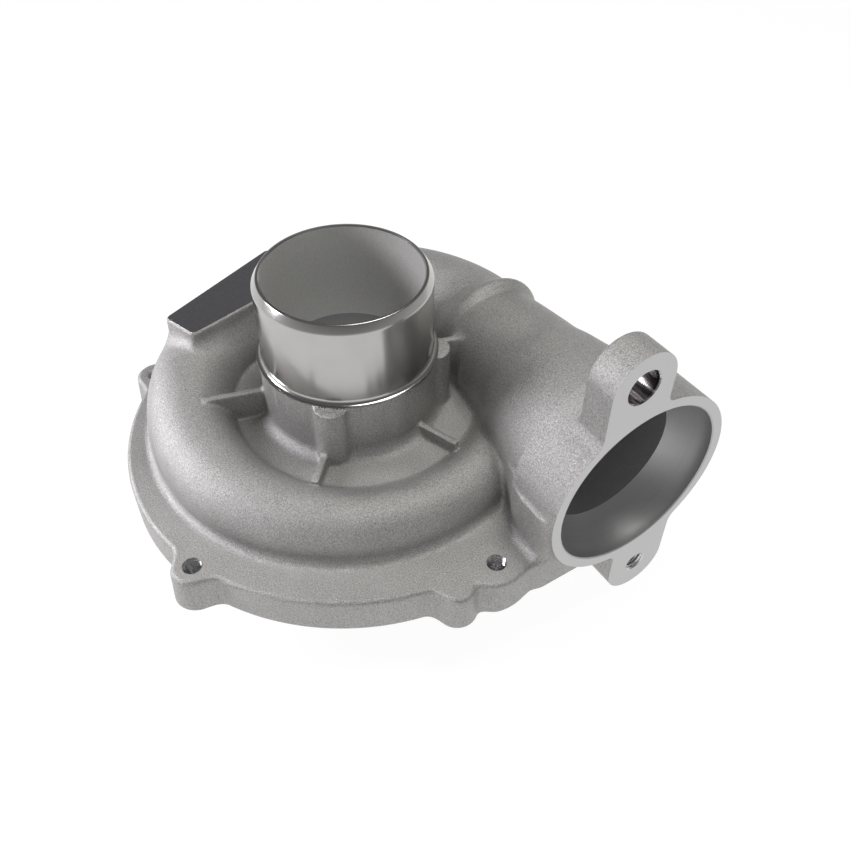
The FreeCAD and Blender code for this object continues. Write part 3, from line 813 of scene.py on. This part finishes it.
class Paint:
    """The node tree of one finish on metal."""

    def __init__(self, name):
        self.material = bpy.data.materials.new(name)
        self.material.use_nodes = True
        self.tree = self.material.node_tree
        self.tree.nodes.clear()

    @classmethod
    def of_tree(cls, tree):
        """A paint that adds its nodes to another tree, such as the world's, emptied first."""
        paint = cls.__new__(cls)
        paint.tree = tree
        tree.nodes.clear()
        return paint

    def node(self, kind, settings=None, sockets=None, output=0):
        """A node with its settings made first, then its sockets' values or links."""
        made = self.tree.nodes.new(kind)
        for key, value in (settings or {}).items():
            setattr(made, key, value)
        for key, value in (sockets or {}).items():
            if isinstance(value, Socket):
                self.tree.links.new(value.link, made.inputs[key])
            else:
                made.inputs[key].default_value = value
        return Socket(self, made.outputs[output]) if made.outputs else None

    def place(self):
        """The place on the piece, in metres in the part's frame."""
        return self.node("ShaderNodeTexCoord", output="Object")

    def noise(self, scale, detail=2.0, roughness=0.5, at=None):
        """Noise between 0 and 1 whose waves are 1 / scale metres long."""
        settings = {"noise_dimensions": "3D"}
        sockets = {"Vector": at or self.place(), "Scale": scale, "Detail": detail, "Roughness": roughness}
        return self.node("ShaderNodeTexNoise", settings, sockets)

    def mix(self, share, first, second):
        """The colour between two colours at a share."""
        settings = {"data_type": "RGBA"}
        return self.node("ShaderNodeMix", settings, {0: share, 6: first, 7: second}, output=2)

    def apart(self):
        """The place's three coordinates as sockets."""
        made = self.node("ShaderNodeSeparateXYZ", sockets={0: self.place()})
        return tuple(Socket(self, made.link.node.outputs[index]) for index in range(3))

    def turned(self, centre=(0.0, 0.0), along="Z"):
        """(distance from an axis, height along it) as two sockets, for marks of a lathe."""
        x, y, z = self.apart()
        first, second, height = (x, y, z) if along == "Z" else (y, z, x)
        first, second = first - centre[0], second - centre[1]
        return (first * first + second * second) ** 0.5, height

    def rings(self, scale, centre=(0.0, 0.0), along="Z", detail=3.0):
        """Noise that changes only with the distance from an axis and the height: lathe marks."""
        radius, height = self.turned(centre, along)
        point = self.node("ShaderNodeCombineXYZ", sockets={0: radius, 1: height})
        return self.noise(scale, detail, at=point)

    def finish(self, color, roughness, metallic, height=None, depth=0.0):
        """Ends the tree in one metal shader; depth is the bump's height in metres."""
        sockets = {"Base Color": color, "Roughness": roughness, "Metallic": metallic}
        if height is not None:
            bump = {"Height": height, "Distance": depth, "Strength": 1.0}
            sockets["Normal"] = self.node("ShaderNodeBump", sockets=bump)
        shader = self.node("ShaderNodeBsdfPrincipled", sockets=sockets)
        self.node("ShaderNodeOutputMaterial", sockets={"Surface": shader})
        return self.material


def cast_finish(color):
    """Fine blasted casting: a soft grey whose grain sparkles, a little uneven and paler in places."""
    paint = Paint("cast_aluminium")
    grain = paint.noise(1700.0, detail=3.0, roughness=0.7)
    sparkle = paint.noise(2700.0, detail=1.0)
    patches = paint.noise(38.0, detail=4.0, roughness=0.6)
    tone = (0.5 + grain.swing(3.4) + patches.swing(0.5)).held()
    flecks = ((sparkle - 0.62) * 9.0).held()
    rough = 0.5 + patches.swing(0.1) - flecks * 0.28
    metal = 0.75 + flecks * 0.22
    height = grain * 0.75 + sparkle * 0.25
    tint = paint.mix(tone, shaded(color, 0.66), shaded(color, 1.3))
    return paint.finish(tint, rough, metal, height, depth=0.00042)


def core_finish(name, color):
    """The cast skin inside the inlet or the air passage, smoother than outside. Its colour is painted
    shade in the passage, darker than the skin outside, and painted light in the inlet, paler than it.
    """
    paint = Paint(name)
    grain = paint.noise(1100.0, detail=3.0, roughness=0.6)
    tint = paint.mix((0.5 + grain.swing(1.6)).held(), shaded(color, 0.8), color)
    return paint.finish(tint, 0.55, 0.5, grain, depth=0.00018)


def reamed_finish(dark, pale):
    """The dowel hole's smooth wall, streaked along the hole. Its colour runs from a near-black grey,
    painted shade inside the hole, to a pale grey on the streaks, painted glints.
    """
    paint = Paint("reamed_aluminium")
    x, y, z = paint.apart()
    stretched = paint.node("ShaderNodeCombineXYZ", sockets={0: x * 0.04, 1: y, 2: z})
    streaks_and_glints = paint.noise(700.0, at=stretched)
    # Painted shade in the hole, with painted glints along the tool streaks
    tint = paint.mix((streaks_and_glints.swing(4.0) + 0.35).held(), dark, pale)
    return paint.finish(tint, 0.26, 1.0, streaks_and_glints, depth=0.00002)


def polished_finish(color):
    """Mirror-turned metal with hair-fine rings round the wheel's axis."""
    paint = Paint("polished_aluminium")
    rings = paint.rings(9000.0)
    tint = paint.mix(paint.noise(60.0), color, RING_TINT)
    return paint.finish(tint, 0.13 + rings * 0.09, 1.0, rings, depth=0.0000012)


def milled_finish(color):
    """A flat face milled to a pale even grey."""
    paint = Paint("milled_aluminium")
    grain = paint.noise(3000.0)
    tint = paint.mix(grain, color, shaded(color, 1.12))
    return paint.finish(tint, 0.36 + grain * 0.12, 0.8, grain, depth=0.00002)


def turned_finish(dark, pale):
    """The satin seat of the outlet, with rings round the outlet's axis."""
    paint = Paint("turned_aluminium")
    rings = paint.rings(5200.0, (OUTLET_Y * MM, OUTLET_Z * MM), "X")
    return paint.finish(paint.mix(rings, dark, pale), 0.34 + rings * 0.2, 0.75, rings, depth=0.00001)


def bored_finish(dark, pale):
    """Bores, the register and the underside, turned round the wheel's axis. Their dark greys are painted
    shade inside the bores.
    """
    paint = Paint("bored_aluminium")
    rings = paint.rings(4000.0)
    return paint.finish(paint.mix(rings, dark, pale), 0.4 + rings * 0.2, 0.7, rings, depth=0.00001)


def cut_finish(dark, pale):
    """Cut threads, bright."""
    paint = Paint("cut_aluminium")
    grain = paint.noise(1500.0)
    return paint.finish(paint.mix(grain, dark, pale), 0.18 + grain * 0.15, 1.0)


def pad_finish(dark, pale):
    """The smooth dark face of the pad."""
    paint = Paint("pad_aluminium")
    grain = paint.noise(900.0)
    return paint.finish(paint.mix(grain, dark, pale), 0.2 + grain * 0.08, 1.0, grain, depth=0.000004)


FINISHES = ("cast", "polished", "milled", "turned", "bored", "cut", "pad", "core", "inlet", "reamed")

# How far a face's middle may lie from the plane, cylinder or cast skin that it belongs to

PLANE_NEAR = 0.02
BORE_NEAR = 0.05
SKIN_NEAR = 0.3

# The heights between which the wheel's bore is turned, with the cast skin of the inlet above them,
# where the passage in the duct starts, and how far the faces of each hole reach from its axis

BORED_FOOT = 11.5
BORED_TOP = 60.0
DUCT_CORE_START = 4.0
LUG_HOLE_REACH = 4.35
DOWEL_HOLE_REACH = 8.0
STUD_HOLE_REACH = 5.4


def face_finishes(centres, normals):
    """The number of the finish of each face, from where its middle lies and how it faces."""
    x, y, z = centres.T
    radius = np.hypot(x, y)
    outlet = np.hypot(y - OUTLET_Y, z - OUTLET_Z)
    before = x < OUTLET_FACE - PLANE_NEAR / 2
    finish = np.zeros(len(centres), np.int32)

    def mark(faces, kind):
        finish[faces] = FINISHES.index(kind)

    outside = (radius > INLET_RADIUS + BORE_NEAR) & (radius < COLLAR_RADIUS + 2 * BORE_NEAR)
    outside &= z > COLLAR_HEIGHT - PLANE_NEAR
    mark(outside, "polished")
    inside = (radius < INLET_RADIUS + BORE_NEAR) & ~outside & (z > BORED_FOOT)
    mark(inside, "bored")
    mark(inside & (z >= BORED_TOP), "inlet")
    turn = turn_of(x, y)
    ring = np.hypot(radius - scroll_radius(turn), z - scroll_height(turn))
    mark((ring < passage_radius(turn) + SKIN_NEAR) & (turn < THROAT_TURN + 1.0), "core")
    cy, cz, wide = duct_axis(x)
    duct = (x > DUCT_CORE_START) & (x < OUTLET_FACE - THROAT_DEPTH)
    mark(duct & (np.hypot(y - cy, z - cz) < wide + SKIN_NEAR), "core")
    chamber = (z < DIFFUSER_LEVEL + BORE_NEAR) & (radius < REGISTER_RADIUS + REGISTER_CLEAR)
    underside = (z < PLANE_NEAR) & (normals[:, 2] < -0.9)
    mark((chamber | underside) & (x < EAR_ROOM[0] + 0.5), "bored")
    mark((x > OUTLET_FACE - PLANE_NEAR) & (normals[:, 0] > 0.9), "milled")
    seat = (outlet < OUTLET_RADIUS + CHAMFER + 2 * BORE_NEAR) & before
    mark(seat & (x > OUTLET_FACE - THROAT_DEPTH - PLANE_NEAR), "turned")
    for lug_x, lug_y in lug_places():
        hole = np.hypot(x - lug_x, y - lug_y) < LUG_HOLE_REACH
        mark(hole & (z > PLANE_NEAR) & (z < FLANGE_THICKNESS - PLANE_NEAR / 2), "cut")
    holes = ((UPPER_EAR, DOWEL_HOLE_REACH, "reamed"), (LOWER_EAR, STUD_HOLE_REACH, "cut"))
    for ear, reach, kind in holes:
        hole = np.hypot(y - ear[0], z - ear[1]) < reach
        mark(hole & before & (x > OUTLET_FACE - EAR_THICKNESS + 2 * BORE_NEAR), kind)
    (low_x, low_y), (high_x, high_y) = PAD_CUT
    top = (x > low_x) & (x < high_x) & (y > low_y) & (y < high_y)
    mark(top & (z > PAD_TOP - PLANE_NEAR) & (normals[:, 2] > 0.95), "pad")
    return finish


def dress(body, finishes):
    """Gives the body its finishes face by face, smooth shading and sharp machined edges."""
    mesh = body.data
    mesh.materials.clear()
    for material in finishes:
        mesh.materials.append(material)
    count = len(mesh.polygons)
    centres = np.empty(3 * count)
    normals = np.empty(3 * count)
    mesh.polygons.foreach_get("center", centres)
    mesh.polygons.foreach_get("normal", normals)
    finish = face_finishes(centres.reshape(-1, 3) / MM, normals.reshape(-1, 3))
    mesh.polygons.foreach_set("material_index", finish)
    mesh.polygons.foreach_set("use_smooth", np.ones(count, bool))
    mesh.set_sharp_from_angle(angle=math.radians(SHARP_ANGLE))
    mesh.update()


# What a user would change


class HousingFinish(bpy.types.PropertyGroup):
    """Colours of the bare metal."""

    cast: bpy.props.FloatVectorProperty(
        name="Cast", description="Colour of the blasted cast skin", subtype="COLOR", size=4,
        default=(0.45, 0.445, 0.435, 1.0), min=0.0, max=1.0,
    )
    polished: bpy.props.FloatVectorProperty(
        name="Polished", description="Colour of the spigot and collar", subtype="COLOR", size=4,
        default=(0.42, 0.415, 0.4, 1.0), min=0.0, max=1.0,
    )
    milled: bpy.props.FloatVectorProperty(
        name="Milled", description="Colour of the outlet's face", subtype="COLOR", size=4,
        default=(0.55, 0.55, 0.55, 1.0), min=0.0, max=1.0,
    )


class HousingStage(bpy.types.PropertyGroup):
    """Light and camera."""

    light: bpy.props.FloatProperty(
        name="Light", description="Strength of the studio lamps", default=1.0, min=0.0, soft_max=4.0,
    )
    lens: bpy.props.FloatProperty(
        name="Lens", description="Focal length on a 36 mm sensor", default=37.796, min=1.0,
        subtype="DISTANCE_CAMERA",
    )


class HOUSING_OT_casting(bpy.types.Operator):
    """Builds the housing's casting with its machined places and finishes"""

    bl_idname = "housing.casting"
    bl_label = "Casting"

    def execute(self, context):
        colors = context.scene.housing_finish
        body = cast_body()
        combine(body, spigot_solid(), "UNION")
        machine(body)
        finishes = {
            "cast": cast_finish(tuple(colors.cast)),
            "polished": polished_finish(tuple(colors.polished)),
            "milled": milled_finish(tuple(colors.milled)),
            "turned": turned_finish(*SEAT_COLORS),
            "bored": bored_finish(*BORE_SHADE_COLORS),
            "cut": cut_finish(*THREAD_COLORS),
            "pad": pad_finish(*PAD_COLORS),
            # The passage's colour is painted shade and the inlet's is painted light
            "core": core_finish("core_aluminium", PASSAGE_SHADE_COLOR),
            "inlet": core_finish("inlet_aluminium", INLET_LIT_COLOR),
            "reamed": reamed_finish(*REAMED_SHADE_AND_GLINT_COLORS),
        }
        dress(body, [finishes[kind] for kind in FINISHES])
        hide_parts(NODE)
        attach(body, "root")
        return {"FINISHED"}


# The stage


CAMERA_LOOK_AT = np.array((49.8, 8.7, 49.3))
CAMERA_AZIMUTH = -32.735
CAMERA_ELEVATION = 44.87
CAMERA_ROLL = 0.176
CAMERA_DISTANCE = 378.0
SENSOR_WIDTH = 36.0

# Each lamp is (name, place, side, power in watts, colour)

LAMPS = (
    ("key", (-336.0, -539.0, 323.0), 220.0, 3.6, (0.97, 0.94, 1.0)),
    ("top", (60.0, 150.0, 720.0), 320.0, 2.3, (1.0, 0.99, 0.95)),
)
LAMP_TARGET = (10.0, 0.0, 40.0)
FLOOR_GAP = 0.05
FLOOR_HALF = 4000.0
FLOOR_BOUNCE = grey(0.5)
FLOOR_GLOW = 1.08
FLOOR_GLOW_SHARE = 0.88
SWEEP_GREY = 0.6
SWEEP_TOP = 0.12
SWEEP_FADE = 2.6
CEILING_GREY = 0.16
CEILING_BLUE = 1.02
WHITE = grey(1.0)


def aim(item, place, target, roll=0.0):
    """Puts a camera or lamp at a place in millimetres, looking at a target."""
    back = np.array(place, float) - np.array(target, float)
    back /= np.linalg.norm(back)
    right = np.cross((0.0, 0.0, 1.0), back)
    right /= np.linalg.norm(right)
    up = np.cross(back, right)
    c, s = math.cos(math.radians(roll)), math.sin(math.radians(roll))
    right, up = c * right + s * up, c * up - s * right
    matrix = np.eye(4)
    matrix[:3, :3] = np.stack([right, up, back], axis=1)
    matrix[:3, 3] = np.array(place) * MM
    item.matrix_world = Matrix(matrix.tolist())


def add_lamp(name, place, side, power, color):
    """A soft square lamp that looks at the part's middle; lengths in millimetres, power in watts."""
    lamp = bpy.data.lights.new(name, "AREA")
    lamp.shape = "SQUARE"
    lamp.size = side * MM
    lamp.energy = power
    lamp.color = color
    item = bpy.data.objects.new(name, lamp)
    bpy.context.scene.collection.objects.link(item)
    aim(item, place, LAMP_TARGET)


def add_camera(lens):
    """The camera at the photo's place, with no shift and no depth of field."""
    a, e = math.radians(CAMERA_AZIMUTH), math.radians(CAMERA_ELEVATION)
    back = np.array((math.cos(e) * math.cos(a), math.cos(e) * math.sin(a), math.sin(e)))
    camera = bpy.data.cameras.new("camera")
    camera.lens = lens
    camera.sensor_width = SENSOR_WIDTH
    item = bpy.data.objects.new("camera", camera)
    bpy.context.scene.collection.objects.link(item)
    aim(item, CAMERA_LOOK_AT + CAMERA_DISTANCE * back, CAMERA_LOOK_AT, CAMERA_ROLL)
    bpy.context.scene.camera = item


def floor_finish():
    """White to the camera and in reflections, with a faint shadow; pale grey to other rays."""
    paint = Paint("floor")
    path = paint.node("ShaderNodeLightPath", output="Is Camera Ray")
    glossy = Socket(paint, path.link.node.outputs["Is Glossy Ray"])
    through = Socket(paint, path.link.node.outputs["Is Transmission Ray"])
    seen = (path + glossy + through).held()
    pale = paint.mix(seen, FLOOR_BOUNCE, WHITE)
    diffuse = paint.node("ShaderNodeBsdfDiffuse", sockets={"Color": pale})
    white = paint.node("ShaderNodeEmission", sockets={"Color": WHITE, "Strength": FLOOR_GLOW})
    mix = {0: seen * FLOOR_GLOW_SHARE, 1: diffuse, 2: white}
    shader = paint.node("ShaderNodeMixShader", sockets=mix)
    paint.node("ShaderNodeOutputMaterial", sockets={"Surface": shader})
    return paint.material


def add_floor():
    """A wide flat floor under the part's lowest point."""
    level = BOX_LOW[2] - FLOOR_GAP
    half = FLOOR_HALF
    corners = [(-half, -half, level), (half, -half, level), (half, half, level), (-half, half, level)]
    floor = mesh_object("floor", corners, [(0, 1, 2, 3)])
    floor.data.materials.append(floor_finish())


def set_world():
    """A studio with a pale grey sweep up to a low height and a darker grey ceiling above it."""
    world = bpy.data.worlds.new("studio")
    world.use_nodes = True
    paint = Paint.of_tree(world.node_tree)
    around = paint.node("ShaderNodeTexCoord", output="Generated")
    apart = paint.node("ShaderNodeSeparateXYZ", sockets={0: around})
    height = Socket(paint, apart.link.node.outputs["Z"])
    share = ((height - SWEEP_TOP) * SWEEP_FADE).held()
    ceiling = (CEILING_GREY, CEILING_GREY, CEILING_BLUE * CEILING_GREY, 1.0)
    color = paint.mix(share, grey(SWEEP_GREY), ceiling)
    shader = paint.node("ShaderNodeBackground", sockets={"Color": color, "Strength": 1.0})
    paint.node("ShaderNodeOutputWorld", sockets={"Surface": shader})
    bpy.context.scene.world = world


class HOUSING_OT_stage(bpy.types.Operator):
    """Builds the floor, the lamps, the world and the camera"""

    bl_idname = "housing.stage"
    bl_label = "Stage"

    def execute(self, context):
        settings = context.scene.housing_stage
        add_floor()
        set_world()
        for name, place, side, power, color in LAMPS:
            add_lamp(name, place, side, power * settings.light, color)
        add_camera(settings.lens)
        context.scene.view_settings.view_transform = "Standard"
        return {"FINISHED"}


class HOUSING_PT_panel(bpy.types.Panel):
    """Lists the housing's operators and settings"""

    bl_label = "Turbo Compressor Housing"
    bl_idname = "HOUSING_PT_panel"
    bl_space_type = "VIEW_3D"
    bl_region_type = "UI"
    bl_category = "Housing"

    def draw(self, context):
        layout = self.layout
        for group in (context.scene.housing_finish, context.scene.housing_stage):
            for name in group.__annotations__:
                layout.prop(group, name)
        for operator in (HOUSING_OT_casting, HOUSING_OT_stage):
            layout.operator(operator.bl_idname)


CLASSES = (HousingFinish, HousingStage, HOUSING_OT_casting, HOUSING_OT_stage, HOUSING_PT_panel)


def register():
    """Makes the settings, operators and panel known."""
    for item in CLASSES:
        bpy.utils.register_class(item)
    bpy.types.Scene.housing_finish = bpy.props.PointerProperty(type=HousingFinish)
    bpy.types.Scene.housing_stage = bpy.props.PointerProperty(type=HousingStage)


def unregister():
    """Takes back what register made."""
    del bpy.types.Scene.housing_stage
    del bpy.types.Scene.housing_finish
    for item in reversed(CLASSES):
        bpy.utils.unregister_class(item)


def main():
    """Builds the housing and its stage."""
    register()
    bpy.ops.housing.casting()
    bpy.ops.housing.stage()


if __name__ == "__main__":
    main()
